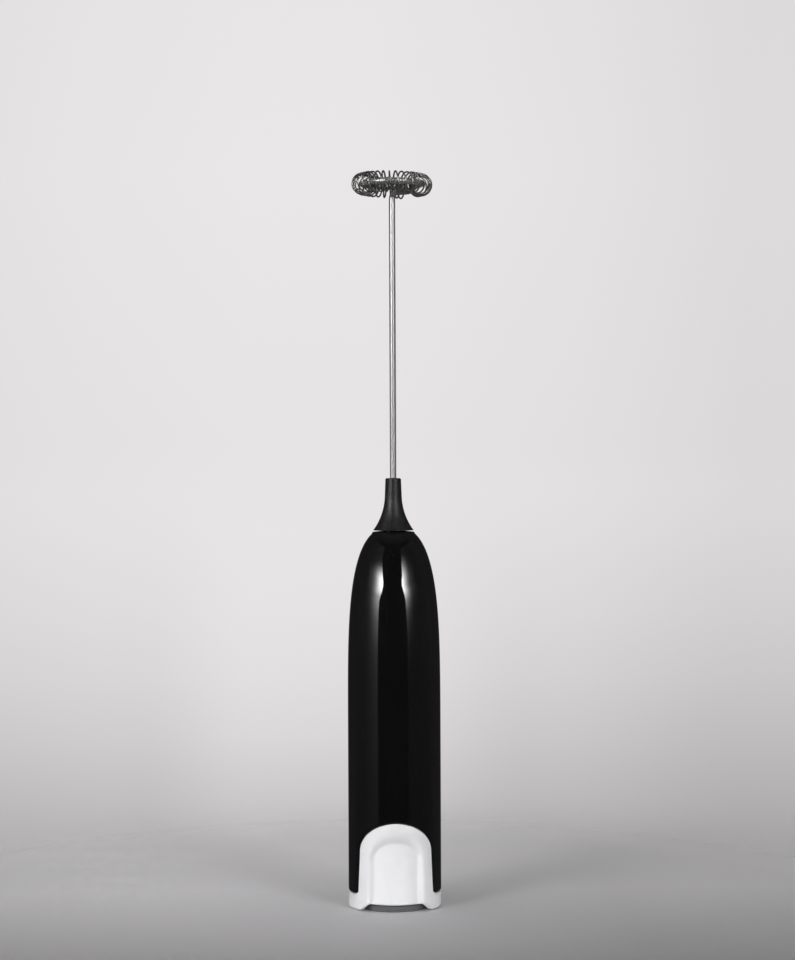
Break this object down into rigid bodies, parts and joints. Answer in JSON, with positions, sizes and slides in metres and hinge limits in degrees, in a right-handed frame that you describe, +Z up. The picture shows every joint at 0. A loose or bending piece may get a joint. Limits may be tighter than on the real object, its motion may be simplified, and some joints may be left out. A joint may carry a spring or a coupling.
{
  "type": "milk frother",
  "caption": "Handheld milk frother: bullet-shaped black handle on a white foot with a dished thumb pad, flared grey collar, thin steel rod and a ring whisk wound with a wire coil.",
  "frame": {"origin": "centre of the foot's underside, on the whisk's axis", "axes": "+Z up the handle to the whisk, the thumb pad faces -Y, +X to the right seen from the pad's side"},
  "size_m": [0.0324, 0.0325, 0.2566],
  "materials": {
    "shell_black": "high-gloss moulded black",
    "button_white": "satin moulded white",
    "collar_grey": "fine matte dark grey",
    "stainless_wire": "drawn and polished stainless wire",
    "frame_plastic": "moulded dark grey",
    "cell_steel": "nickel-plated steel",
    "cell_sleeve": "plain shrink sleeve",
    "contact_nickel": "nickel-plated contact steel",
    "spring_steel": "spring steel wire",
    "carrier_plastic": "natural moulded plastic",
    "screw_steel": "zinc-plated steel",
    "can_steel": "plated deep-drawn steel",
    "magnet_ferrite": "sintered ferrite",
    "bell_plastic": "moulded white nylon",
    "bushing_bronze": "sintered bronze",
    "brush_graphite": "copper graphite",
    "terminal_brass": "stamped brass",
    "seal_rubber": "soft black rubber",
    "shaft_steel": "ground steel",
    "core_steel": "laminated electrical steel",
    "winding_copper": "enamelled copper wire",
    "commutator_copper": "turned copper",
    "washer_nylon": "nylon"
  },
  "bodies": {
    "battery_sled": {"battery_frame": "frame_plastic", "battery_left": "cell_steel", "battery_right": "cell_steel", "battery_sleeve_left": "cell_sleeve", "battery_sleeve_right": "cell_sleeve", "upper_contact_left": "contact_nickel", "upper_contact_right": "contact_nickel", "lower_contact_left": "contact_nickel", "lower_contact_right": "contact_nickel", "battery_spring_left": "spring_steel", "battery_spring_right": "spring_steel", "pivot_pins": "shaft_steel", "button_spring": "spring_steel"},
    "thumb_button": {"thumb_button": "button_white", "contact_bridge": "contact_nickel"},
    "handle": {"handle_shell": "shell_black", "motor_carrier": "carrier_plastic", "carrier_screws": "screw_steel", "motor_can": "can_steel", "motor_magnets": "magnet_ferrite", "motor_end_bell": "bell_plastic", "motor_bushings": "bushing_bronze", "motor_brushes": "brush_graphite", "motor_terminals": "terminal_brass", "supply_strips": "terminal_brass", "nose_seal": "seal_rubber"},
    "whisk": {"whisk_collar": "collar_grey", "whisk_shaft": "stainless_wire", "whisk_coil": "stainless_wire", "motor_shaft": "shaft_steel", "armature_core": "core_steel", "armature_windings": "winding_copper", "commutator": "commutator_copper", "thrust_washers": "washer_nylon"}
  },
  "joints": [
    {"name": "whisk_spin", "type": "hinge", "parent": "handle", "child": "whisk", "pos_m": [0, 0, 0.1362], "axis": [0, 0, 1], "continuous": true},
    {"name": "handle_pull", "type": "slide", "parent": "battery_sled", "child": "handle", "axis": [0, 0, 1], "range_m": [0, 0.1]},
    {"name": "thumb_press", "type": "hinge", "parent": "battery_sled", "child": "thumb_button", "pos_m": [0, -0.005, 0.003], "axis": [-1, 0, 0], "range_deg": [0, 1.5], "stiffness_Nm_per_rad": 0.9, "springref_deg": -0.57, "deforming": ["button_spring"]}
  ]
}
